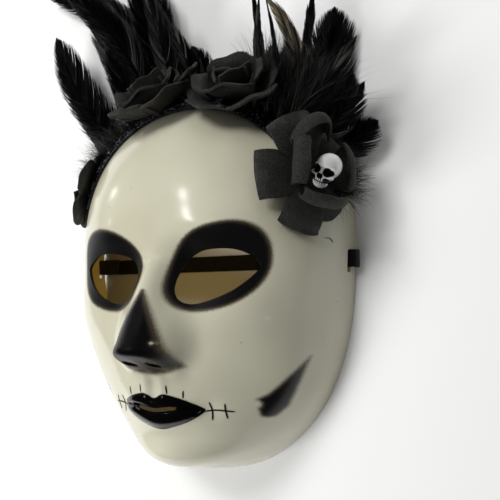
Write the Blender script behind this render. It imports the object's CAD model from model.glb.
import math
import random
from collections import namedtuple

import bmesh
import bpy
import numpy as np
from mathutils import Matrix, Vector


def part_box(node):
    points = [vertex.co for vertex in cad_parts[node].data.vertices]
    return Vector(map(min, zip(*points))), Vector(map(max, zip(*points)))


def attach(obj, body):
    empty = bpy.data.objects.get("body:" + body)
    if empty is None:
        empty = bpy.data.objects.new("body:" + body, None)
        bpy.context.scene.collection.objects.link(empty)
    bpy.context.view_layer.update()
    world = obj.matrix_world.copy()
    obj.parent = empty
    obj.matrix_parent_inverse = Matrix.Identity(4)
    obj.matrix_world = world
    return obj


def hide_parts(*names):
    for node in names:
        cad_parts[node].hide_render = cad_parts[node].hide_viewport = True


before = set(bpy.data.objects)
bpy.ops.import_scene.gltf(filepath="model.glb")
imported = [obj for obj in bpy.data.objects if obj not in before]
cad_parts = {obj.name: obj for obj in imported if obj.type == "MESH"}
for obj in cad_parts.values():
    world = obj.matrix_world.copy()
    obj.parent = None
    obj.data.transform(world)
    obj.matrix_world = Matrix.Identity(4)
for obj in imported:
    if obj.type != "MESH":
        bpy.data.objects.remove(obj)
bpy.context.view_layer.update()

# The view
# The mask lies face up, so the camera looks down on it, from its left temple's side and a little
# from below the chin. Places are in millimetres of the mask's own frame, its middle at the origin.
MM = 0.001
SHELL_LOW, SHELL_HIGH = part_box("mask_shell")
HALF_HEIGHT = 118.0
MASK_MIDDLE = Vector(((SHELL_LOW[0] + SHELL_HIGH[0]) / 2, SHELL_LOW[1] + HALF_HEIGHT * MM, 0.0))

IMAGE_SIDE = 500
FOCAL_PIXELS = 560.0
CAMERA_YAW = math.radians(25.6)
CAMERA_PITCH = math.radians(4.4)
CAMERA_ROLL = math.radians(-0.7)
CAMERA_TARGET = Vector((43.2, 14.9, 40.0))
CAMERA_DISTANCE = 310.0

camera_turn = Matrix.Rotation(CAMERA_YAW, 3, "Y")
camera_turn = camera_turn @ Matrix.Rotation(CAMERA_PITCH, 3, "X")
camera_turn = camera_turn @ Matrix.Rotation(CAMERA_ROLL, 3, "Z")
camera_place = CAMERA_TARGET + camera_turn.col[2] * CAMERA_DISTANCE
camera = bpy.data.objects.new("camera", bpy.data.cameras.new("camera"))
bpy.context.scene.collection.objects.link(camera)
camera.matrix_world = Matrix.Translation(camera_place * MM + MASK_MIDDLE) @ camera_turn.to_4x4()
camera.data.sensor_width = 36.0
camera.data.lens = camera.data.sensor_width * FOCAL_PIXELS / IMAGE_SIDE
camera.data.clip_start = 0.01
bpy.context.scene.camera = camera

# Elastic strap
# Flat braided elastic 10 mm wide: its ends are sewn down just inside the temples, it comes out of
# the slots, turns round the edge of the mask and lies across behind the face.
STRAP_WIDTH = 10.0
STRAP_THICKNESS = 1.0
STRAP_Y = 10.2
STRAP_RIBS = 7
STRAP_CHEVRON = 2.6
STRAP_RELIEF = 0.14
STRAP_STEP = 0.45
STRAP_SECTION = 28

# One half of the strap's line, from its sewn end: X, and height over the surface the mask lies on
STRAP_SIDE = [
    (73, 7.6), (77, 8.4), (81, 8.8), (85, 8.9), (89, 8.8), (92.2, 8.2), (94.3, 6.8), (95.1, 4.8),
    (94.6, 2.9), (93, 1.5), (90.5, 0.9), (87, 0.75), (78, 0.75), (62, 0.75), (42, 0.75), (20, 0.75),
]


def linear(code):
    """A colour written as sRGB hex, as the linear values that a shader takes"""
    parts = [int(code[k:k + 2], 16) / 255 for k in (1, 3, 5)]
    return [c / 12.92 if c <= 0.04045 else ((c + 0.055) / 1.055) ** 2.4 for c in parts] + [1.0]


def add_node(material, kind, links=None, **settings):
    """Adds a shader node: settings name its properties or, as a dict called inputs, its sockets"""
    made = material.node_tree.nodes.new(kind)
    values = settings.pop("inputs", {})
    for name, value in settings.items():
        setattr(made, name, value)
    for name, value in values.items():
        made.inputs[name].default_value = value
    for name, source in (links or {}).items():
        material.node_tree.links.new(source, made.inputs[name])
    return made


def new_material(name, color, roughness, **sockets):
    """A material with one Principled shader, and that shader"""
    material = bpy.data.materials.new(name)
    material.use_nodes = True
    shader = material.node_tree.nodes["Principled BSDF"]
    shader.inputs["Base Color"].default_value = linear(color)
    shader.inputs["Roughness"].default_value = roughness
    for socket, value in sockets.items():
        shader.inputs[socket.replace("_", " ")].default_value = value
    return material, shader


def finished_piece(name, bm, materials, node_names):
    """A bmesh in millimetres becomes a piece in its place, which rides on the mask"""
    bmesh.ops.scale(bm, vec=(MM, MM, MM), verts=bm.verts)
    bmesh.ops.translate(bm, vec=MASK_MIDDLE, verts=bm.verts)
    mesh = bpy.data.meshes.new(name)
    bm.to_mesh(mesh)
    bm.free()
    for material in materials:
        mesh.materials.append(material)
    piece = bpy.data.objects.new(name, mesh)
    bpy.context.scene.collection.objects.link(piece)
    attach(piece, "root")
    if node_names:
        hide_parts(*node_names)
    return piece


def shade_smooth(piece, degrees):
    """Smooth shading, with edges sharper than an angle kept crisp"""
    mesh = piece.data
    mesh.polygons.foreach_set("use_smooth", [True] * len(mesh.polygons))
    mesh.set_sharp_from_angle(angle=math.radians(degrees))


def smooth_route(points, step):
    """Points along a smooth curve through the given ones, evenly spaced"""
    knots = [Vector(p) for p in points]
    knots = [knots[0] * 2 - knots[1]] + knots + [knots[-1] * 2 - knots[-2]]
    fine = []
    for k in range(1, len(knots) - 2):
        before, start, end, after = knots[k - 1:k + 3]
        for t in np.arange(0, 1, 0.05):
            bend = start * 2 + (end - before) * t + (before * 2 - start * 5 + end * 4 - after) * t ** 2
            fine.append((bend + (start * 3 - before - end * 3 + after) * t ** 3) / 2)
    fine.append(knots[-2])
    gaps = [(b - a).length for a, b in zip(fine, fine[1:])]
    lengths = np.concatenate([[0], np.cumsum(gaps)])
    places = np.linspace(0, lengths[-1], max(round(lengths[-1] / step), 2) + 1)
    columns = [np.interp(places, lengths, [p[k] for p in fine]) for k in range(3)]
    return [Vector(p) for p in zip(*columns)], lengths[-1]


def swept_grid(rings, around, point_at, size):
    """A tube from a grid whose short side closes on itself, with its length and girth as UV in mm"""
    bm = bmesh.new()
    layer = bm.loops.layers.uv.new("length")
    bmesh.ops.create_grid(bm, x_segments=rings, y_segments=around, size=1, calc_uvs=True)
    for face in bm.faces:
        for loop in face.loops:
            loop[layer].uv = (loop[layer].uv.x * size[0], loop[layer].uv.y * size[1])
    for v in bm.verts:
        ring = round((v.co.x + 1) / 2 * rings)
        step = round((v.co.y + 1) / 2 * around)
        v.co = point_at(ring, step % around)
    bmesh.ops.remove_doubles(bm, verts=bm.verts, dist=1e-6)
    bmesh.ops.holes_fill(bm, edges=bm.edges, sides=0)
    bmesh.ops.recalc_face_normals(bm, faces=bm.faces)
    return bm


def signed_power(value, power):
    """A power that keeps its value's sign"""
    return np.sign(value) * np.abs(value) ** power


# Braided elastic: polyester yarn over rubber cores, matte, with fine chevron ribs that catch the
# light. The ribs are 1.4 mm columns, a little coarser than the yarn, so that they show.
strap_material, strap_shader = new_material(
    "braided_elastic", "#0c0c0d", 0.62, Sheen_Weight=0.12, Sheen_Roughness=0.35, Specular_IOR_Level=0.4,
)
strap_uv = add_node(strap_material, "ShaderNodeUVMap", uv_map="length")
yarn = add_node(
    strap_material, "ShaderNodeTexNoise", {"Vector": strap_uv.outputs["UV"]},
    inputs={"Scale": 3.5, "Detail": 3.0},
)
yarn_tone = add_node(strap_material, "ShaderNodeValToRGB", {"Fac": yarn.outputs["Fac"]})
yarn_tone.color_ramp.elements[0].color = linear("#070708")
yarn_tone.color_ramp.elements[1].color = linear("#1c1c1e")
yarn_bump = add_node(
    strap_material, "ShaderNodeBump", {"Height": yarn.outputs["Fac"]},
    inputs={"Strength": 0.5, "Distance": 0.0001},
)
strap_material.node_tree.links.new(yarn_tone.outputs["Color"], strap_shader.inputs["Base Color"])
strap_material.node_tree.links.new(yarn_bump.outputs["Normal"], strap_shader.inputs["Normal"])

strap_half = [(x, STRAP_Y, z) for x, z in STRAP_SIDE]
strap_middle = (0, STRAP_Y, STRAP_SIDE[-1][1])
strap_knots = strap_half + [strap_middle] + [(-x, y, z) for x, y, z in reversed(strap_half)]
strap_route, strap_length = smooth_route(strap_knots, STRAP_STEP)


def strap_point(ring, step):
    """The strap's skin: a flat oval section, with the braid's chevrons raised on both faces"""
    before = strap_route[max(ring - 1, 0)]
    after = strap_route[min(ring + 1, len(strap_route) - 1)]
    along = (after - before).normalized()
    across = Vector((0, 1, 0))
    angle = 2 * math.pi * (step + 0.5) / STRAP_SECTION
    width = STRAP_WIDTH / 2 * float(signed_power(math.cos(angle), 0.85))
    column = width / STRAP_WIDTH * STRAP_RIBS
    lean = 2 * abs(column - math.floor(column + 0.5))
    travelled = ring * strap_length / (len(strap_route) - 1)
    weave = 0.5 + 0.5 * math.cos(2 * math.pi * (travelled / STRAP_CHEVRON + lean))
    relief = STRAP_RELIEF * weave * min(abs(math.sin(angle)) * 3, 1)
    height = (STRAP_THICKNESS / 2 - STRAP_RELIEF) * abs(math.sin(angle)) ** 0.35 + relief
    rise = math.copysign(height, math.sin(angle))
    return strap_route[ring] + across * width + across.cross(along) * rise


strap_bm = swept_grid(len(strap_route) - 1, STRAP_SECTION, strap_point, (strap_length, 2 * STRAP_WIDTH))
strap = finished_piece("strap", strap_bm, [strap_material], ["elastic_strap"])
shade_smooth(strap, 60)

# Mask shell
# One vacuum-formed half-shell of 1.5 mm plastic, ivory outside and amber inside, with the eyes,
# nostrils, mouth slit and strap slots punched out. The skull is sprayed and painted on it.
HALF_WIDTH = 92.0
TEMPLE_FLARE = 0.1
OUTLINE_SQUARENESS = 2.5
DOME_RISE = 92.0
DOME_CUT = 0.955
DOME_ROUNDNESS = 1.28
DOME_FOOT = math.sqrt(1 - DOME_CUT ** DOME_ROUNDNESS)
WALL = 1.5
EYE_X = 35.0
EYE_Y = 1.5
EYE_HALF_WIDTH = 22.0
EYE_HALF_HEIGHT = 13.0
EYE_SLANT = 0.2
MOUTH_Y = -69.0
MOUTH_HALF_WIDTH = 26.0
SLIT_HALF_WIDTH = 15.0
NOSTRIL_X = 7.3
NOSTRIL_Y = -44.8
NOSTRIL_HALF_WIDTH = 4.3
NOSTRIL_HALF_HEIGHT = 1.9
SLOT_Y = 8.7
SLOT_Z = 8.7
SLOT_HALF_LENGTH = 6.8
SLOT_HALF_WIDTH = 1.8
SLOT_SQUARENESS = 6
RIM_LIFT = 2.2
RIM_LIFT_REACH = 14.0

# Bumps and hollows of the face, and of the nose's tip, wings and underside, the same on both sides:
# rise, distance from the middle line, place up the face, reach across and reach along
FACE_RELIEF = [
    (-5.5, 19, 6, 8, 10), (-6.5, 36, 3, 15, 12), (2.5, 34, 0, 13, 8), (2.8, 30, 23, 18, 6.5),
    (4, 52, -16, 15, 14), (2.5, 30, -26, 13, 12), (-3, 50, -60, 14, 20), (6, 0, -67, 23, 17),
    (16, 0, -101, 25, 13), (-4, 0, -87, 18, 4.8), (0.8, 5, -57, 1.8, 6), (-1.3, 0, -56, 2.6, 6),
]
NOSE_RELIEF = [(2.6, 0, -37.5, 7.5, 6.5), (5, 12.5, -43, 3.8, 4.6), (3, 0, -46.5, 2.2, 3)]
NOSE_ROOT = 13.0
NOSE_TIP = -36.0
NOSE_BASE = -50.0
NOSE_RISE = 18.5
BRIDGE_RISE = 4.0
UPPER_LIP = {"depth": 7.6, "rise": 6.6}
LOWER_LIP = {"depth": 11.5, "rise": 8.2}
LIP_CREASE = 1.6
LIP_CORNER_X = 27.5
LIP_CORNER_DEPTH = 1.6


def bell(u, v, reach_u, reach_v):
    """A round bump of height 1"""
    return np.exp(-0.5 * ((u / reach_u) ** 2 + (v / reach_v) ** 2))


def ramp(t):
    """A smooth climb from 0 to 1 while t goes from 0 to 1"""
    t = np.clip(t, 0, 1)
    return t * t * (3 - 2 * t)


def outline_fill(x, y):
    """0 in the middle of the mask's outline and 1 on it"""
    height = y / HALF_HEIGHT
    across = x / (HALF_WIDTH * np.exp(TEMPLE_FLARE * height))
    return across ** 2 + np.abs(height) ** OUTLINE_SQUARENESS


def with_relief(height, side, y, relief):
    """A height with bumps and hollows added to it"""
    for rise, from_middle, up, reach_across, reach_along in relief:
        height = height + rise * bell(side - from_middle, y - up, reach_across, reach_along)
    return height


def nose_height(x, y):
    """The nose: a ridge that rises and widens from its root to its tip, and ends underneath"""
    side = np.abs(x)
    down = np.maximum((NOSE_ROOT - y) / (NOSE_ROOT - NOSE_TIP), 0)
    underside = ramp((NOSE_TIP - 1 - y) / (NOSE_TIP - 1 - NOSE_BASE))
    rise = BRIDGE_RISE * ramp(down * 2.5) + NOSE_RISE * np.minimum(down, 1) ** 1.2
    half_width = 7.5 + 8 * ramp(down) ** 1.2
    ridge = (1 - ramp((side - 14) / 16)) / (1 + (side / half_width) ** 3)
    return with_relief(rise * (1 - underside) * ridge, side, y, NOSE_RELIEF)


def mouth_line(x):
    """Where the lips meet: a shallow bow with its corners drawn down"""
    across = x / MOUTH_HALF_WIDTH
    return MOUTH_Y - 0.6 + 1.3 * (1 - np.exp(-((x / 7) ** 2))) - 1.4 * across ** 4


def lip_depths(x):
    """How far the upper and the lower lip reach from the mouth line"""
    fullness = np.clip(1 - (x / MOUTH_HALF_WIDTH) ** 2, 0, 1)
    dip = 0.2 * np.exp(-((x / 3.4) ** 2))
    peaks = 0.1 * np.exp(-(((np.abs(x) - 6) / 3.6) ** 2))
    upper = UPPER_LIP["depth"] * fullness ** 0.85 * (1 - dip + peaks)
    return upper, LOWER_LIP["depth"] * fullness ** 0.8


def lip_height(x, y):
    """Both lips swell from the line between them, with a crease along it and pits at its corners"""
    side = np.abs(x)
    fullness = np.clip(1 - (x / MOUTH_HALF_WIDTH) ** 2, 0, 1)
    line = mouth_line(x)
    upper_depth, lower_depth = lip_depths(x)
    up = np.clip((y - line) / np.maximum(upper_depth, 0.05), 0, 1)
    low = np.clip((line - y) / np.maximum(lower_depth, 0.05), 0, 1)
    upper = np.where(y > line, UPPER_LIP["rise"] * up ** 0.5 * (1 - up) ** 0.9, 0)
    lower = np.where(y > line, 0, LOWER_LIP["rise"] * low ** 0.5 * (1 - low) ** 0.8)
    crease = LIP_CREASE * np.exp(-(((y - line) / 1.5) ** 2)) * (1 - ramp((side - 18) / 12))
    corners = LIP_CORNER_DEPTH * bell(side - LIP_CORNER_X, y - MOUTH_Y + 0.5, 4, 4)
    return (upper + lower) * fullness ** 0.6 - crease - corners


def face_height(x, y):
    """The outside of the mask over the surface it lies on: an egg-shaped dome with the features"""
    side = np.abs(x)
    fill = np.minimum(outline_fill(x, y), 1)
    dome = DOME_RISE * (np.sqrt(1 - (DOME_CUT * fill) ** DOME_ROUNDNESS) - DOME_FOOT)
    features = with_relief(0, side, y, FACE_RELIEF) + nose_height(x, y) + lip_height(x, y)
    return dome + features * (1 - ramp((outline_fill(x, y) - 0.7) / 0.3))


def unit(vectors):
    """The same directions at length 1"""
    return vectors / np.maximum(np.linalg.norm(vectors, axis=-1, keepdims=True), 1e-9)


def face_normal(x, y, reach=0.5):
    """The direction that faces out of the mask, from slopes measured over a small reach"""
    slope_x = (face_height(x + reach, y) - face_height(x - reach, y)) / (2 * reach)
    slope_y = (face_height(x, y + reach) - face_height(x, y - reach)) / (2 * reach)
    return unit(np.stack([-slope_x, -slope_y, np.ones_like(slope_x)], axis=-1))


def plan_point(u, v):
    """A point of the unit disk as a point inside the mask's outline"""
    height = signed_power(v, 2 / OUTLINE_SQUARENESS)
    return HALF_WIDTH * np.exp(TEMPLE_FLARE * height) * u, HALF_HEIGHT * height


def side_points(degrees, z, offset=0.0):
    """Points of the dome's side in directions round the face, at heights over the rim, and the
    directions that face away from the mask there"""
    level = 1 - (z / DOME_RISE + DOME_FOOT) ** 2
    radius = np.sqrt(level ** (1 / DOME_ROUNDNESS) / DOME_CUT)
    angle = np.radians(degrees)
    x, y = plan_point(radius * np.cos(angle), radius * np.sin(angle))
    normal = face_normal(x, y)
    return np.stack([x, y, face_height(x, y)], axis=-1) + normal * offset, normal


def side_point(degrees, z, offset=0.0):
    return Vector(side_points(degrees, z, offset)[0])


def rim_lift(y):
    """How far the rim rises to let the strap pass under it"""
    return RIM_LIFT * np.exp(-(((y - STRAP_Y) / RIM_LIFT_REACH) ** 2))


# Each opening is a function that is below zero inside it
def eye_opening(x, y):
    reach = (np.abs(x) - EYE_X) / EYE_HALF_WIDTH
    half_height = EYE_HALF_HEIGHT * (1 - 0.28 * reach - 0.27 * np.clip(reach, 0, 1.2) ** 3)
    middle = EYE_Y + EYE_SLANT * EYE_HALF_WIDTH * reach
    return np.abs(reach) ** 2.5 + np.abs((y - middle) / np.maximum(half_height, 1)) ** 2.1 - 1


def nostril_opening(x, y):
    across = (np.abs(x) - NOSTRIL_X) / NOSTRIL_HALF_WIDTH
    return across ** 2 + ((y - NOSTRIL_Y) / NOSTRIL_HALF_HEIGHT) ** 2 - 1


def mouth_opening(x, y):
    return np.abs(x / SLIT_HALF_WIDTH) ** 2.5 + np.abs(y - mouth_line(x) + 0.2) ** 2 - 1


def slot_opening(x, y):
    along = np.abs((y - SLOT_Y) / SLOT_HALF_LENGTH)
    across = np.abs((face_height(x, y) - SLOT_Z) / SLOT_HALF_WIDTH)
    value = along ** SLOT_SQUARENESS + across ** SLOT_SQUARENESS - 1
    return np.where(np.abs(x) < 0.7 * HALF_WIDTH, 1, np.minimum(value, 5))


SHELL_COLUMNS = 150
SHELL_ROWS = 200
RIM_FINENESS = 1.2

# A square grid is drawn out to a disk, finer towards its edge, and laid into the mask's outline
shell_bm = bmesh.new()
bmesh.ops.create_grid(shell_bm, x_segments=SHELL_COLUMNS, y_segments=SHELL_ROWS, size=1)
bmesh.ops.triangulate(shell_bm, faces=shell_bm.faces)
grid = np.array([v.co for v in shell_bm.verts])
disk_u = grid[:, 0] * np.sqrt(1 - grid[:, 1] ** 2 / 2)
disk_v = grid[:, 1] * np.sqrt(1 - grid[:, 0] ** 2 / 2)
disk_radius = np.maximum(np.hypot(disk_u, disk_v), 1e-9)
disk_scale = np.sin(RIM_FINENESS * disk_radius) / math.sin(RIM_FINENESS) / disk_radius
shell_x, shell_y = plan_point(disk_u * disk_scale, disk_v * disk_scale)
on_rim = disk_radius > 0.9999
for k in np.nonzero(on_rim)[0]:
    rim_angle = math.degrees(math.atan2(disk_v[k], disk_u[k]))
    shell_x[k], shell_y[k] = side_point(rim_angle, rim_lift(shell_y[k]))[:2]


def nearest_crossings(opening, values):
    """For each corner next to an opening's edge, the neighbour over whose shared line the edge runs"""
    nearest = {}
    for edge in shell_bm.edges:
        a, b = edge.verts[0].index, edge.verts[1].index
        if values[a] * values[b] < 0:
            part = values[a] / (values[a] - values[b])
            corner, other, reach = (a, b, part) if part <= 0.5 else (b, a, 1 - part)
            if corner not in nearest or nearest[corner][0] > reach:
                nearest[corner] = (reach, other)
    return nearest


def punch(opening):
    """Moves the corners next to an opening's edge onto it and takes out the triangles inside"""
    values = opening(shell_x, shell_y)
    moved = {}
    for corner, (reach, other) in nearest_crossings(opening, values).items():
        near, far = 0.0, 1.0
        for _ in range(16):
            part = (near + far) / 2
            x = shell_x[corner] + part * (shell_x[other] - shell_x[corner])
            y = shell_y[corner] + part * (shell_y[other] - shell_y[corner])
            if opening(x, y) * values[corner] > 0:
                near = part
            else:
                far = part
        moved[corner] = (x, y)
    for corner, (x, y) in moved.items():
        shell_x[corner], shell_y[corner] = x, y
        values[corner] = 0
    inside = [f for f in shell_bm.faces if all(values[v.index] <= 0 for v in f.verts)]
    bmesh.ops.delete(shell_bm, geom=inside, context="FACES_ONLY")


shell_bm.verts.ensure_lookup_table()
for opening in (eye_opening, nostril_opening, mouth_opening, slot_opening):
    punch(opening)
shell_z = face_height(shell_x, shell_y)
shell_z[on_rim] = rim_lift(shell_y[on_rim])
for v in shell_bm.verts:
    v.co = (shell_x[v.index], shell_y[v.index], shell_z[v.index])
bmesh.ops.delete(shell_bm, geom=[v for v in shell_bm.verts if not v.link_faces], context="VERTS")
bmesh.ops.recalc_face_normals(shell_bm, faces=shell_bm.faces)
if sum(f.normal.z for f in shell_bm.faces) < 0:
    bmesh.ops.reverse_faces(shell_bm, faces=shell_bm.faces)
outside = list(shell_bm.faces)
made = bmesh.ops.solidify(shell_bm, geom=outside, thickness=WALL)
INSIDE = 1
for face in made["geom"]:
    if isinstance(face, bmesh.types.BMFace):
        face.material_index = INSIDE
for v in shell_bm.verts:
    if v.co.z < RIM_LIFT + WALL and outline_fill(v.co.x, v.co.y) > 0.9:
        v.co.z = max(v.co.z, rim_lift(v.co.y))

# The paint's edges, as how far each point lies inside them in millimetres
SOCKET_X = 35.0
SOCKET_Y = 5.5
SOCKET_HALF_WIDTH = 27.5
SOCKET_HALF_HEIGHT = 23.0
SOCKET_SQUARENESS = 2.3
SOCKET_RADIUS = 24.0
NOSE_PAINT_TOP = -5.0
NOSE_PAINT_FOOT = -51.0
NOSE_PAINT_HALF_WIDTH = 22.0
NOSE_CHIP = (11.0, -33.0, 0.9)

# Places and radii along the cheek's brush stroke, and of the notch at its foot
CHEEK_MARK = [(52, -70, 6.4), (56.5, -67, 5.6), (61.5, -61, 4.2), (67, -53.5, 2.6), (74, -43, 0.4)]
CHEEK_NOTCH = (47.6, -67.6, 2.2)


def socket_paint(x, y):
    side = np.abs(x) - SOCKET_X
    middle = SOCKET_Y + EYE_SLANT * side
    across = np.abs(side / SOCKET_HALF_WIDTH) ** SOCKET_SQUARENESS
    up = np.abs((y - middle) / SOCKET_HALF_HEIGHT) ** SOCKET_SQUARENESS
    return (1 - (across + up) ** 0.5) * SOCKET_RADIUS


def nose_paint(x, y):
    down = (NOSE_PAINT_TOP - y) / (NOSE_PAINT_TOP - NOSE_PAINT_FOOT)
    half_width = NOSE_PAINT_HALF_WIDTH * np.clip(down, 0, 1) ** 0.85
    foot = y - NOSE_PAINT_FOOT - 0.012 * x * x
    chip = np.hypot(x - NOSE_CHIP[0], y - NOSE_CHIP[1]) - NOSE_CHIP[2]
    inside = np.minimum(np.where(down > 0, (half_width - np.abs(x)) * 0.8, -5), foot)
    return np.minimum(inside, chip * 3)


def lip_paint(x, y):
    upper_depth, lower_depth = lip_depths(x)
    above = mouth_line(x) + upper_depth - y
    beyond = 4 * np.maximum(np.abs(x) - MOUTH_HALF_WIDTH + 0.2, 0)
    return np.minimum(above, y - mouth_line(x) + lower_depth) - beyond


def cheek_paint(x, y):
    """The cheek mark is a brush stroke: balls of paint strung on a line, with a notch at its foot"""
    side = np.abs(x)
    best = np.full_like(side, -20.0)
    for (x0, y0, r0), (x1, y1, r1) in zip(CHEEK_MARK, CHEEK_MARK[1:]):
        run = (x1 - x0) ** 2 + (y1 - y0) ** 2
        part = np.clip(((side - x0) * (x1 - x0) + (y - y0) * (y1 - y0)) / run, 0, 1)
        far = np.hypot(side - x0 - part * (x1 - x0), y - y0 - part * (y1 - y0))
        best = np.maximum(best, r0 + part * (r1 - r0) - far)
    notch = np.hypot(side - CHEEK_NOTCH[0], y - CHEEK_NOTCH[1]) - CHEEK_NOTCH[2]
    return np.minimum(np.minimum(best, notch), side - CHEEK_MARK[0][0] + 4)


corner_x = np.array([v.co.x for v in shell_bm.verts])
corner_y = np.array([v.co.y for v in shell_bm.verts])
paints = {"socket": socket_paint, "nose": nose_paint, "lips": lip_paint, "cheek": cheek_paint}
for paint_name, paint in paints.items():
    layer = shell_bm.verts.layers.float.new(paint_name)
    for v, value in zip(shell_bm.verts, paint(corner_x, corner_y)):
        v[layer] = value

# Vacuum-formed ABS, ivory: glossy, a little warm, with dust specks moulded in. The airbrushed
# skull is matte acrylic with a grainy, brown-black edge, and the lips are gloss enamel.
shell_material, shell_shader = new_material("ivory_abs_painted", "#dcd6bf", 0.2, Specular_IOR_Level=0.5)
shell_links = shell_material.node_tree.links
shell_place = add_node(shell_material, "ShaderNodeTexCoord").outputs["Object"]


def mm_scale(size):
    """A texture scale whose pattern repeats about every so many millimetres"""
    return 1000.0 / size


grain = add_node(
    shell_material, "ShaderNodeTexNoise", {"Vector": shell_place},
    inputs={"Scale": mm_scale(0.9), "Detail": 3.0, "Roughness": 0.7},
)
cloud = add_node(
    shell_material, "ShaderNodeTexNoise", {"Vector": shell_place},
    inputs={"Scale": mm_scale(60), "Detail": 2.0},
)
ivory = add_node(shell_material, "ShaderNodeValToRGB", {"Fac": cloud.outputs["Fac"]})
ivory.color_ramp.elements[0].position = 0.35
ivory.color_ramp.elements[0].color = linear("#c7c3ac")
ivory.color_ramp.elements[1].position = 0.65
ivory.color_ramp.elements[1].color = linear("#d0cdb8")

# Specks: one in each 9 mm cell, of which only some are dark enough to see
speck_cells = add_node(
    shell_material, "ShaderNodeTexVoronoi", {"Vector": shell_place},
    inputs={"Scale": mm_scale(9), "Randomness": 1.0},
)
speck_pick = add_node(
    shell_material, "ShaderNodeMath", {0: speck_cells.outputs["Color"]}, operation="GREATER_THAN",
    inputs={1: 0.62},
)
speck_size = add_node(
    shell_material, "ShaderNodeMapRange", {"Value": speck_cells.outputs["Distance"]},
    inputs={"From Min": 0.028, "From Max": 0.05, "To Min": 0.75, "To Max": 0.0},
)
speck = add_node(
    shell_material, "ShaderNodeMath", {0: speck_pick.outputs[0], 1: speck_size.outputs["Result"]},
    operation="MULTIPLY",
)
tone = add_node(
    shell_material, "ShaderNodeMix", {0: speck.outputs[0], 6: ivory.outputs["Color"]}, data_type="RGBA",
    inputs={7: linear("#4a4334")},
)


def sprayed(paint_name, soft, fade, color, under):
    """Lays a paint over what is under it: its edge runs from soft to fade millimetres inside the
    mark's outline, broken up by the spray's grain. Gives the new colour and how much paint covers."""
    inside = add_node(shell_material, "ShaderNodeAttribute", attribute_name=paint_name)
    grained = add_node(
        shell_material, "ShaderNodeMath", {0: grain.outputs["Fac"], 2: inside.outputs["Fac"]},
        operation="MULTIPLY_ADD", inputs={1: (fade - soft) * 0.6},
    )
    cover = add_node(
        shell_material, "ShaderNodeMapRange", {"Value": grained.outputs[0]},
        interpolation_type="SMOOTHSTEP",
        inputs={"From Min": soft + (fade - soft) * 0.3, "From Max": fade + (fade - soft) * 0.3},
    )
    laid = add_node(
        shell_material, "ShaderNodeMix", {0: cover.outputs["Result"], 6: under}, data_type="RGBA",
        inputs={7: linear(color)},
    )
    return laid.outputs[2], cover.outputs["Result"]


tone_now = tone.outputs[2]
tone_now, _ = sprayed("socket", -1.2, 1.6, "#55493a", tone_now)
tone_now, socket_cover = sprayed("socket", -0.4, 3.2, "#101011", tone_now)
tone_now, _ = sprayed("nose", -1.6, 1.4, "#5b5040", tone_now)
tone_now, nose_cover = sprayed("nose", -0.2, 3.4, "#0b0b0c", tone_now)
tone_now, _ = sprayed("cheek", -1.0, 1.6, "#4c463a", tone_now)
tone_now, _ = sprayed("cheek", 0.0, 2.8, "#111111", tone_now)
tone_now, _ = sprayed("lips", -0.35, 0.35, "#070708", tone_now)
shell_links.new(tone_now, shell_shader.inputs["Base Color"])
matte = add_node(
    shell_material, "ShaderNodeMath", {0: socket_cover, 1: nose_cover}, operation="MAXIMUM",
)
gloss = add_node(
    shell_material, "ShaderNodeMapRange", {"Value": matte.outputs[0]},
    inputs={"To Min": 0.17, "To Max": 0.42},
)
shell_links.new(gloss.outputs["Result"], shell_shader.inputs["Roughness"])
spray_bump = add_node(
    shell_material, "ShaderNodeBump", {"Height": grain.outputs["Fac"], "Strength": matte.outputs[0]},
    inputs={"Distance": 0.00008},
)
shell_links.new(spray_bump.outputs["Normal"], shell_shader.inputs["Normal"])

# The bare inside of the same sheet: glossy amber plastic with faint forming ripples. The sheet is
# thin enough to let light through, which reaches the inside as a deep amber glow.
inside_material, inside_shader = new_material(
    "amber_inside", "#8a6a26", 0.22, Subsurface_Weight=0.6, Subsurface_Scale=0.006,
    Subsurface_Radius=(1.0, 0.92, 0.7),
)
ripple = add_node(
    inside_material, "ShaderNodeTexNoise",
    {"Vector": add_node(inside_material, "ShaderNodeTexCoord").outputs["Object"]},
    inputs={"Scale": mm_scale(14), "Detail": 2.0},
)
amber = add_node(inside_material, "ShaderNodeValToRGB", {"Fac": ripple.outputs["Fac"]})
amber.color_ramp.elements[0].color = linear("#ac9a69")
amber.color_ramp.elements[1].color = linear("#bdab79")
inside_material.node_tree.links.new(amber.outputs["Color"], inside_shader.inputs["Base Color"])

shell_materials = [shell_material, inside_material]
shell = finished_piece("shell", shell_bm, shell_materials, ["mask_shell"])
shade_smooth(shell, 50)

# Painted stitches
# Fine lines drawn with a paint marker: a seam out from each corner of the lips with two stitches
# across it, and short stitches over the lips. A loose fibre has dried in on one temple.
STITCH_WIDTH = 0.8
LINE_HEIGHT = 0.3
LINE_STEP = 0.5
SEAM_Y = -70.4
STITCHES = [
    [(25, SEAM_Y), (31, SEAM_Y + 0.4), (38.5, SEAM_Y - 0.8)],
    [(28, SEAM_Y + 5), (28.4, SEAM_Y), (28, SEAM_Y - 5)],
    [(35, SEAM_Y + 4), (34.6, SEAM_Y), (34.8, SEAM_Y - 4.5)],
    [(-25, SEAM_Y), (-31, SEAM_Y + 0.6), (-38, SEAM_Y)],
    [(-28.5, SEAM_Y + 5), (-28, SEAM_Y), (-28.6, SEAM_Y - 4.5)],
    [(-34.6, SEAM_Y + 4), (-35, SEAM_Y), (-34.5, SEAM_Y - 4)],
    [(-17, -58.5), (-16.6, -63)], [(-8.5, -56.5), (-8.2, -61)], [(8, -56.5), (8.3, -61)],
    [(17, -59), (16.5, -63)],
]
FIBRE_WIDTH = 0.45
FIBRE = [(82.6, 20.4), (84, 20.6), (85, 19.6), (85.4, 18.2)]


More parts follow.
